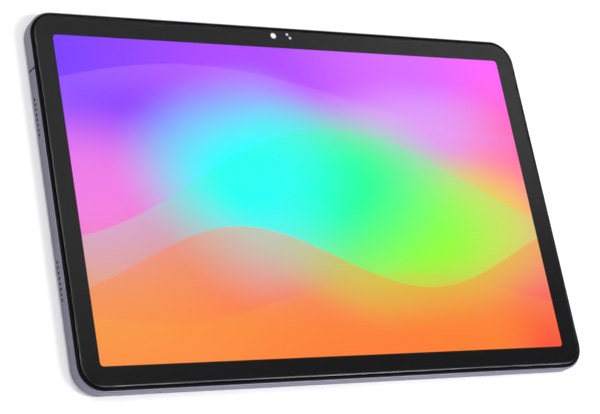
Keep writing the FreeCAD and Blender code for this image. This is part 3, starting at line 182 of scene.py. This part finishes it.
class Tree:
    """A material's or world's nodes, with short ways to add and join them."""

    def __init__(self, owner):
        owner.use_nodes = True
        self.tree = owner.node_tree
        self.tree.nodes.clear()

    def add(self, kind, inputs=None, **settings):
        node = self.tree.nodes.new(kind)
        for name, value in settings.items():
            setattr(node, name, value)
        for name, value in (inputs or {}).items():
            self.put(node.inputs[name], value)
        return node

    def put(self, socket, value):
        if isinstance(value, bpy.types.NodeSocket):
            self.tree.links.new(value, socket)
        else:
            socket.default_value = value

    def math(self, operation, a, b=0.0):
        return self.add("ShaderNodeMath", {0: a, 1: b}, operation=operation).outputs[0]

    def length(self, a, b):
        """Root of the sum of two squares."""
        return self.math("SQRT", self.math("ADD", self.math("POWER", a, 2.0), self.math("POWER", b, 2.0)))

    def between(self, value, low, high):
        """1 where a value lies between two limits, else 0."""
        above, below = self.math("GREATER_THAN", value, low), self.math("LESS_THAN", value, high)
        return self.math("MULTIPLY", above, below)

    def smooth(self, value, low, high, to_low=0.0, to_high=1.0):
        """Smooth step of a value between two limits."""
        inputs = {"Value": value, "From Min": low, "From Max": high, "To Min": to_low, "To Max": to_high}
        return self.add("ShaderNodeMapRange", inputs, interpolation_type="SMOOTHSTEP").outputs["Result"]

    def noise(self, scale, detail=3.0, vector=None, roughness=0.5):
        vector = vector or self.place()
        inputs = {"Scale": scale, "Detail": detail, "Roughness": roughness, "Vector": vector}
        return self.add("ShaderNodeTexNoise", inputs).outputs["Fac"]

    def place(self):
        return self.add("ShaderNodeTexCoord").outputs["Object"]

    def axes(self, vector=None):
        split = self.add("ShaderNodeSeparateXYZ", {0: vector or self.place()})
        return split.outputs[0], split.outputs[1], split.outputs[2]

    def ramp(self, value, stops):
        """Smooth ramp through sRGB colours."""
        node = self.add("ShaderNodeValToRGB", {"Fac": value})
        node.color_ramp.interpolation = "EASE"
        elements = node.color_ramp.elements
        while len(elements) < len(stops):
            elements.new(1.0)
        for element, (position, colour) in zip(elements, stops):
            element.position = position
            element.color = linear(colour)
        return node.outputs["Color"]

    def mix(self, factor, a, b):
        """Colour that goes from the first to the second as the factor goes from 0 to 1."""
        node = self.add("ShaderNodeMix", data_type="RGBA", clamp_factor=True)
        self.put(node.inputs[MIX_FACTOR], factor)
        self.put(node.inputs[MIX_A], a)
        self.put(node.inputs[MIX_B], b)
        return node.outputs[MIX_RESULT]

    def bump(self, height, distance, strength=1.0):
        inputs = {"Height": height, "Distance": distance, "Strength": strength}
        return self.add("ShaderNodeBump", inputs).outputs["Normal"]

    def mix_shaders(self, factor, first, second):
        """Shader that goes from the first to the second as the factor goes from 0 to 1."""
        node = self.add("ShaderNodeMixShader", {0: factor, 1: first, 2: second})
        return node.outputs[0]

    def see_through(self):
        return self.add("ShaderNodeBsdfTransparent", {"Color": WHITE}).outputs[0]

    def principled(self, inputs):
        return self.add("ShaderNodeBsdfPrincipled", inputs).outputs["BSDF"]

    def surface(self, shader):
        """Joins a shader to the material's output."""
        self.add("ShaderNodeOutputMaterial", {"Surface": shader})

    def shader(self, inputs):
        """Principled shader joined to the output."""
        self.surface(self.principled(inputs))


# Size of the mottling, in grains
MOTTLE_SIZE = 60


def new_material(name):
    material = bpy.data.materials.new(name)
    return material, Tree(material)


def grained(
    name,
    colour,
    rough,
    metal=0.0,
    grain=4000.0,
    depth=0.004,
    tint=0.08,
    rough_range=0.08,
    coat=0.0,
    shine=0.5,
):
    """Solid finish with fine grain, faint larger mottling and uneven gloss. The grain's depth is in mm."""
    material, t = new_material(name)
    fine = t.noise(grain, 4.0)
    broad = t.noise(grain / MOTTLE_SIZE, 3.0)
    dark = linear([c * (1 - tint) for c in colour])
    light = linear([min(c * (1 + tint), 1) for c in colour])
    both = t.math("ADD", t.math("MULTIPLY", fine, 0.6), t.math("MULTIPLY", broad, 0.4))
    inputs = {
        "Base Color": t.mix(t.smooth(both, 0.35, 0.65), dark, light),
        "Roughness": t.smooth(both, 0.3, 0.7, rough - rough_range, rough + rough_range),
        "Metallic": metal,
        "Coat Weight": coat,
        "Specular IOR Level": shine,
        "Normal": t.bump(fine, depth * MM),
    }
    t.shader(inputs)
    return material


# --- Materials ------------------------------------------------------------------


def painted_opening_shade(t, place):
    """Mask of what lies inside the outer skin of a side wall, such as the walls of sound holes, for painted
    shade.
    """
    x, y, z = t.axes(place)
    half_x, half_y = cad_high.x, -cad_low.y
    reach_x, reach_y = t.math("ABSOLUTE", x), t.math("ABSOLUTE", y)
    inside_x = t.math("LESS_THAN", reach_x, half_x - SKIN)
    inside_y = t.math("LESS_THAN", reach_y, half_y - SKIN)
    inside = t.math("MULTIPLY", inside_x, inside_y)
    corner_x = t.math("GREATER_THAN", reach_x, half_x - CORNER)
    corner_y = t.math("GREATER_THAN", reach_y, half_y - CORNER)
    corner = t.math("MULTIPLY", corner_x, corner_y)
    level = t.between(z, OPENINGS_FROM, OPENINGS_TO)
    return t.math("MULTIPLY", t.math("MULTIPLY", inside, level), t.math("SUBTRACT", 1.0, corner))


def anodised_metal(name, paints_opening_shade):
    """Lilac grey anodised aluminium with a fine blasted grain, and painted shade inside the openings of a
    shell.
    """
    material, t = new_material(name)
    place = t.place()
    fine = t.noise(9000.0, 4.0, place, 0.6)
    medium = t.noise(1500.0, 3.0, place)
    broad = t.noise(18.0, 2.0, place)
    sparkle = t.math("ADD", t.math("MULTIPLY", fine, 0.65), t.math("MULTIPLY", medium, 0.35))
    base = t.mix(t.smooth(sparkle, 0.35, 0.65), linear((0.445, 0.435, 0.495)), linear((0.50, 0.49, 0.55)))
    base = t.mix(t.smooth(broad, 0.3, 0.7, 0.0, 0.25), base, linear((0.48, 0.48, 0.545)))
    if paints_opening_shade:
        # Painted shade: the walls inside the openings are darkened
        base = t.mix(painted_opening_shade(t, place), base, linear(OPENING_PAINTED_SHADE))
    inputs = {
        "Base Color": base,
        "Metallic": 1.0,
        "Roughness": t.smooth(sparkle, 0.3, 0.7, 0.36, 0.50),
        "Normal": t.bump(sparkle, 0.006 * MM, 0.6),
    }
    t.shader(inputs)
    return material


def painted_cover():
    """Plastic antenna cover, painted to match the metal, with a little more orange peel."""
    material, t = new_material("painted_cover")
    place = t.place()
    flake = t.noise(9000.0, 4.0, place, 0.6)
    peel = t.noise(700.0, 2.0, place)
    base = t.mix(t.smooth(flake, 0.35, 0.65), linear((0.465, 0.455, 0.515)), linear((0.52, 0.51, 0.565)))
    inputs = {
        # Painted shade: the walls inside the openings are darkened
        "Base Color": t.mix(painted_opening_shade(t, place), base, linear(OPENING_PAINTED_SHADE)),
        "Metallic": 0.85,
        "Roughness": t.smooth(flake, 0.3, 0.7, 0.38, 0.52),
        "Normal": t.bump(peel, 0.003 * MM, 0.5),
    }
    t.shader(inputs)
    return material


def clear_glass():
    """Clear coated glass: mirrors a little on its face and rounded edge; its rim is matte black, partly
    from grinding and partly painted shade.
    """
    material, t = new_material("clear_cover_glass")
    place = t.place()
    low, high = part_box("cover_glass")
    z = t.axes(place)[2]
    facing = t.axes(t.add("ShaderNodeNewGeometry").outputs["True Normal"])[2]
    rim = t.math("LESS_THAN", t.math("ABSOLUTE", facing), RIM_GRIND_AND_SHADE_FACING)
    outside = t.math("GREATER_THAN", z, low.z + 0.02 * MM)
    smudge = t.smooth(t.noise(35.0, 4.0, place), 0.4, 0.7, 0.015, 0.06)
    polish = t.smooth(z, high.z - EDGE_FROM, high.z - EDGE_TO, EDGE_ROUGHNESS, smudge)
    fresnel = t.add("ShaderNodeFresnel", {"IOR": GLASS_MIRROR_IOR}).outputs[0]
    gloss = t.add("ShaderNodeBsdfGlossy", {"Color": WHITE, "Roughness": polish}).outputs[0]
    # Matte black rim: partly from grinding, partly painted shade along the edge of the glass
    rim_grind_and_shade = t.add("ShaderNodeBsdfDiffuse", {"Color": RIM_GRIND_AND_SHADE_BLACK}).outputs[0]
    face = t.mix_shaders(t.math("MULTIPLY", fresnel, outside), t.see_through(), gloss)
    t.surface(t.mix_shaders(rim, face, rim_grind_and_shade))
    return material


def wave(t, u, v, height, rise, pace, phase, depth):
    """Mask that is full just under a wave's crest line and fades out below it."""
    swing = t.math("SINE", t.math("ADD", t.math("MULTIPLY", u, pace), phase))
    crest = t.math("ADD", t.math("MULTIPLY", swing, rise), height)
    below = t.math("SUBTRACT", crest, v)
    return t.math("MULTIPLY", t.smooth(below, 0.0, CREST), t.smooth(below, 0.0, depth, 1.0, 0.0))


def glow(t, u, v, centre, reach):
    """Round soft mask, full at its centre and gone at its reach."""
    across = t.math("DIVIDE", t.math("SUBTRACT", u, centre[0]), reach[0])
    along = t.math("DIVIDE", t.math("SUBTRACT", v, centre[1]), reach[1])
    return t.smooth(t.length(across, along), GLOW_CORE, 1.0, 1.0, 0.0)


def lit_area(t, x, y):
    """Mask of the lit area, a rectangle with rounded corners."""
    core = PICTURE_HALF - Vector((PICTURE_CORNER, PICTURE_CORNER))
    out_x = t.math("MAXIMUM", t.math("SUBTRACT", t.math("ABSOLUTE", x), core.x), 0.0)
    out_y = t.math("MAXIMUM", t.math("SUBTRACT", t.math("ABSOLUTE", y), core.y), 0.0)
    return t.math("LESS_THAN", t.length(out_x, out_y), PICTURE_CORNER)


def lit_picture():
    """Bands and glows of colour with overlapping waves, lit from behind, and black outside the lit area."""
    material, t = new_material("lit_picture")
    place = t.place()
    x, y, _ = t.axes(place)
    u = t.math("DIVIDE", x, PICTURE_HALF.x)
    v = t.math("DIVIDE", y, PICTURE_HALF.y)
    drift = t.math("SUBTRACT", t.noise(9.0, 1.0, place), 0.5)
    u_bent = t.math("ADD", u, t.math("MULTIPLY", drift, BEND_ACROSS))
    v_bent = t.math("ADD", v, t.math("MULTIPLY", drift, BEND_ALONG))
    across = t.math("MULTIPLY", t.math("ADD", u_bent, 1.0), 0.5)
    upwards = t.smooth(v_bent, BANDS_FROM, BANDS_TO)
    picture = t.mix(upwards, t.ramp(across, BOTTOM_BAND), t.ramp(across, TOP_BAND))
    for centre, reach, colour, full in GLOWS:
        mask = t.math("MULTIPLY", glow(t, u_bent, v_bent, centre, reach), full)
        picture = t.mix(mask, picture, linear(colour))
    for height, rise, pace, phase, depth, colour, strength in WAVES:
        veil = t.math("MULTIPLY", wave(t, u, v, height, rise, pace, phase, depth), strength)
        picture = t.mix(veil, picture, linear(colour))
    inputs = {
        "Base Color": (0.004, 0.004, 0.005, 1),
        "Roughness": 0.35,
        "Specular IOR Level": 0.1,
        "Emission Color": t.mix(lit_area(t, x, y), BLACK, picture),
        "Emission Strength": 1.0,
    }
    t.shader(inputs)
    return material


def disc_material(name, node, inner, inner_colour, outer_colour, rough):
    """Round optical piece: one colour inside a radius round the node's axis and another outside."""
    material, t = new_material(name)
    low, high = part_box(node)
    middle = (low + high) / 2
    x, y, _ = t.axes()
    dx, dy = t.math("SUBTRACT", x, middle.x), t.math("SUBTRACT", y, middle.y)
    haze = t.math("MULTIPLY", t.noise(3000.0), 0.06 * MM)
    mask = t.smooth(t.math("ADD", t.length(dx, dy), haze), inner * 0.92, inner * 1.02)
    inputs = {
        "Base Color": t.mix(mask, linear(inner_colour), linear(outer_colour)),
        "Roughness": rough,
        "Coat Weight": 1.0,
    }
    t.shader(inputs)
    return material


def circuit_board():
    """Green solder mask with copper tracks showing through and small pads."""
    material, t = new_material("circuit_board")
    place = t.place()
    bricks = {"Vector": place, "Scale": 260.0, "Mortar Size": 0.03}
    tracks = t.add("ShaderNodeTexBrick", bricks).outputs["Fac"]
    pads = t.add("ShaderNodeTexVoronoi", {"Vector": place, "Scale": 700.0}).outputs["Distance"]
    base = t.mix(tracks, linear((0.03, 0.30, 0.18)), linear((0.06, 0.42, 0.24)))
    base = t.mix(t.math("LESS_THAN", pads, 0.12), base, linear((0.80, 0.72, 0.45)))
    t.shader({"Base Color": base, "Roughness": 0.35, "Normal": t.bump(tracks, 0.02 * MM)})
    return material


def woven_mesh():
    """Fine black woven mesh behind the sound holes."""
    material, t = new_material("woven_mesh")
    _, y, z = t.axes()
    pitch = 2 * math.pi / (0.12 * MM)
    warp = t.math("SINE", t.math("MULTIPLY", y, pitch))
    weft = t.math("SINE", t.math("MULTIPLY", z, pitch))
    weave = t.math("ABSOLUTE", t.math("MULTIPLY", warp, weft))
    base = t.mix(weave, linear((0.01, 0.01, 0.01)), linear((0.07, 0.07, 0.075)))
    t.shader({"Base Color": base, "Metallic": 0.6, "Roughness": 0.6, "Normal": t.bump(weave, 0.03 * MM)})
    return material


def pouch_foil():
    """Silver laminate with shallow wrinkles."""
    material, t = new_material("pouch_foil")
    place = t.place()
    crease = t.noise(60.0, 5.0, place, 0.7)
    fine = t.noise(3000.0, 2.0, place)
    base = t.mix(crease, linear((0.62, 0.62, 0.64)), linear((0.78, 0.78, 0.80)))
    inputs = {
        "Base Color": base,
        "Metallic": 0.9,
        "Roughness": t.smooth(fine, 0.3, 0.7, 0.3, 0.5),
        "Normal": t.bump(crease, 0.12 * MM),
    }
    t.shader(inputs)
    return material


def make_materials():
    """One material for each slot of the record."""
    steel = grained("pressed_steel", (0.72, 0.72, 0.74), 0.35, 1.0, 2500.0)
    black_moulding = grained("black_moulding", (0.10, 0.10, 0.105), 0.5, grain=3000.0)
    return {
        "anodised_aluminium": anodised_metal("anodised_shell", True),
        "key_metal": anodised_metal("anodised_key", False),
        "cover_plastic": painted_cover(),
        "clear_glass": clear_glass(),
        "display_picture": lit_picture(),
        "black_print": grained(
            "black_print", (0.085, 0.085, 0.09), 0.7, grain=6000.0, depth=0.0005, tint=0.05, shine=0.02
        ),
        "frame_plastic": grained(
            "frame_plastic", (0.035, 0.035, 0.04), 0.6, grain=7000.0, depth=0.003, shine=0.08
        ),
        "seam_plastic": grained("seam_plastic", (0.03, 0.03, 0.035), 0.7, grain=6000.0, shine=0.1),
        "ring_metal": grained("ring_metal", (0.42, 0.41, 0.48), 0.22, 1.0, 8000.0, 0.001),
        "window_glass": disc_material(
            "window_glass", "rear_camera_window", 2.3 * MM, (0.10, 0.11, 0.20), (0.02, 0.02, 0.025), 0.05
        ),
        # The front lens's white disc is a painted highlight, standing in for the glint that its coating
        # mirrors
        "lens_glass": disc_material(
            "lens_glass", "front_camera_lens", 1.3 * MM, (1.0, 1.0, 0.99), (0.02, 0.02, 0.02), 0.4
        ),
        "sensor_plastic": grained("sensor_plastic", (0.90, 0.86, 1.0), 0.3, grain=5000.0, tint=0.02),
        "lamp_lens": grained("lamp_lens", (0.88, 0.97, 1.0), 0.3, grain=5000.0, tint=0.02),
        "circuit_board": circuit_board(),
        "mesh_steel": woven_mesh(),
        "cell_foil": pouch_foil(),
        "camera_black": black_moulding,
        "speaker_plastic": black_moulding,
        "chip_black": grained("chip_black", (0.13, 0.13, 0.13), 0.6, grain=5000.0),
        "connector_plastic": grained("connector_plastic", (0.12, 0.12, 0.12), 0.5, grain=4000.0),
        "wire_insulation": grained("wire_insulation", (0.08, 0.08, 0.08), 0.45, grain=2000.0),
        "tape_black": grained("tape_black", (0.08, 0.08, 0.08), 0.85, grain=2500.0, depth=0.02),
        "foam_black": grained("foam_black", (0.09, 0.09, 0.09), 0.9, grain=2000.0, depth=0.05),
        "graphite": grained("graphite", (0.22, 0.22, 0.23), 0.5, 0.3, 1500.0),
        "sheet_steel": steel,
        "switch_metal": steel,
        "screw_steel": grained("screw_steel", (0.60, 0.60, 0.62), 0.3, 1.0, 5000.0),
        "socket_steel": grained("socket_steel", (0.66, 0.66, 0.68), 0.28, 1.0, 5000.0),
        "tray_metal": grained("tray_metal", (0.82, 0.82, 0.83), 0.3, 1.0, 2000.0),
        "plate_metal": grained("plate_metal", (0.60, 0.60, 0.62), 0.45, 1.0, 1500.0, 0.01),
        "contact_gold": grained("contact_gold", (0.92, 0.74, 0.38), 0.25, 1.0, 6000.0),
        "brass_standoff": grained("brass_standoff", (0.80, 0.66, 0.38), 0.3, 1.0, 4000.0),
        "antenna_copper": grained("antenna_copper", (0.80, 0.52, 0.38), 0.35, 1.0, 2500.0),
        "flex_film": grained("flex_film", (0.66, 0.40, 0.12), 0.35, grain=1500.0, coat=0.3),
        "lcd_glass": grained(
            "lcd_glass", (0.10, 0.10, 0.12), 0.1, grain=3000.0, depth=0.0005, rough_range=0.03
        ),
        "diffuser_film": grained("diffuser_film", (0.93, 0.93, 0.93), 0.5, grain=5000.0),
        "clear_acrylic": grained("clear_acrylic", (0.88, 0.92, 0.93), 0.15, grain=5000.0),
        "lamp_bar": grained("lamp_bar", (0.93, 0.90, 0.70), 0.4, grain=4000.0),
    }


def clear_film():
    """Adhesive between the picture and the glass: clear, with nothing to see but the picture below it."""
    material, t = new_material("clear_film")
    t.surface(t.see_through())
    return material


def dress_nodes():
    """Gives every CAD node the material of its slot, and returns the materials."""
    materials = make_materials()
    materials["clear_adhesive"] = clear_film()
    for part in frame["record"]["subparts"]:
        node = frame["nodes"][part["node"]]
        node.data.materials.clear()
        node.data.materials.append(materials[part["material_slot"]])
    return materials


# --- Pieces that the CAD model leaves out ---------------------------------------


# Light baffles: lens, name, which way it looks along Z, and how far the baffle reaches past the lens. Below
# them, how far past the lens the low step starts and ends, and a step's height.
BAFFLES = [
    ("rear_camera_lens", "rear_lens_baffle", -1, 0.7 * MM),
    ("front_camera_lens", "front_lens_baffle", 1, 0.35 * MM),
]
BAFFLE_GAP = 0.08 * MM
BAFFLE_TREAD = 0.3 * MM
BAFFLE_STEP = 0.03 * MM
RING_SIDES = 96


def lathe(name, centre, outline, material):
    """Ring turned round the Z axis from a closed outline of (radius, z) points."""
    count = len(outline)
    points, faces = [], []
    for i in range(RING_SIDES):
        angle = 2 * math.pi * i / RING_SIDES
        for radius, z in outline:
            points.append((centre.x + radius * math.cos(angle), centre.y + radius * math.sin(angle), z))
    for i in range(RING_SIDES):
        near, far = i * count, ((i + 1) % RING_SIDES) * count
        for j in range(count):
            k = (j + 1) % count
            faces.append((near + j, far + j, far + k, near + k))
    mesh = bpy.data.meshes.new(name)
    mesh.from_pydata(points, [], faces)
    mesh.materials.append(material)
    ring = bpy.data.objects.new(name, mesh)
    bpy.context.collection.objects.link(ring)
    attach(ring, BODY)


def add_lens_rings(materials):
    """Stepped light baffle in front of each camera."""
    black = materials["camera_black"]
    for node, name, towards, reach in BAFFLES:
        low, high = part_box(node)
        centre = (low + high) / 2
        radius = (high.x - low.x) / 2
        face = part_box(node.replace("lens", "module"))[0 if towards < 0 else 1].z
        inner, tread, outer = radius + BAFFLE_GAP, radius + BAFFLE_TREAD, radius + reach
        step = BAFFLE_STEP * towards
        outline = [
            (inner, face + step),
            (tread, face + step),
            (tread, face + 2 * step),
            (outer, face + 2 * step),
            (outer, face + step / 2),
            (inner, face + step / 2),
        ]
        lathe(name, centre, outline if towards < 0 else outline[::-1], black)


# --- Floor, light and camera ----------------------------------------------------


def make_floor():
    """Pale floor that fades into the white of the studio far from the tablet."""
    mesh = bpy.data.meshes.new("floor")
    z = cad_low.z - FLOOR_GAP
    corners = [(x * FLOOR_HALF, y * FLOOR_HALF, z) for x, y in ((-1, -1), (1, -1), (1, 1), (-1, 1))]
    mesh.from_pydata(corners, [], [(0, 1, 2, 3)])
    material, t = new_material("pale_floor")
    shade = t.smooth(t.noise(4.0), 0.3, 0.7)
    base = t.mix(shade, linear((0.955, 0.955, 0.955)), linear((0.965, 0.965, 0.965)))
    x, y, _ = t.axes()
    near = t.principled({"Base Color": base, "Roughness": 0.8, "Specular IOR Level": 0.0})
    far = t.add("ShaderNodeEmission", {"Color": WHITE, "Strength": 1.0}).outputs[0]
    fade = t.smooth(t.length(x, y), FLOOR_FADE_FROM, FLOOR_FADE_TO)
    t.surface(t.mix_shaders(fade, near, far))
    mesh.materials.append(material)
    floor = bpy.data.objects.new("floor", mesh)
    bpy.context.collection.objects.link(floor)


def make_world():
    """White studio with a dim patch, a dark one and a bright one, for the glass to mirror."""
    world = bpy.data.worlds.new("studio")
    bpy.context.scene.world = world
    t = Tree(world)
    direction = t.add("ShaderNodeTexCoord").outputs["Generated"]
    height = t.axes(direction)[2]
    strength = t.math("ADD", STUDIO, t.smooth(height, HORIZON_FULL, HORIZON_END, HORIZON, 0.0))
    for towards, start, full, amount in STUDIO_PATCHES:
        inputs = {0: direction, 1: Vector(towards).normalized()}
        dot = t.add("ShaderNodeVectorMath", inputs, operation="DOT_PRODUCT").outputs["Value"]
        strength = t.math("ADD", strength, t.smooth(dot, start, full, 0.0, amount))
    light = t.add("ShaderNodeBackground", {"Color": WHITE, "Strength": strength})
    t.add("ShaderNodeOutputWorld", {"Surface": light.outputs[0]})


def add_softbox(name, place, size, power, mirrored):
    """Rectangular light. One that glass and metal mirror faces straight down, others face the tablet."""
    light = bpy.data.lights.new(name, "AREA")
    light.shape = "RECTANGLE"
    light.size, light.size_y = size
    light.energy = power
    light.color = LIGHT_COLOUR
    box = bpy.data.objects.new(name, light)
    box.location = place
    box.visible_glossy = mirrored
    if not mirrored:
        box.rotation_euler = (-Vector(place)).to_track_quat("-Z", "Y").to_euler()
    bpy.context.collection.objects.link(box)


def make_camera():
    """Camera that sees the tablet as the photo does."""
    data = bpy.data.cameras.new("camera")
    data.sensor_width = 36.0
    data.lens = LENS_MM
    data.shift_x, data.shift_y = SHIFT
    camera = bpy.data.objects.new("camera", data)
    forward = CAMERA_FORWARD.normalized()
    right = (CAMERA_RIGHT - forward * CAMERA_RIGHT.dot(forward)).normalized()
    up = right.cross(forward)
    turn = Matrix((right, up, -forward)).transposed()
    place = CAMERA_FROM_PICTURE + Vector((0, 0, PICTURE_Z))
    camera.matrix_world = Matrix.Translation(place) @ turn.to_4x4()
    bpy.context.collection.objects.link(camera)
    bpy.context.scene.camera = camera


make_camera()
add_lens_rings(dress_nodes())
make_floor()
make_world()
for light in LIGHTS:
    add_softbox(*light)
bpy.context.scene.view_settings.view_transform = "Standard"
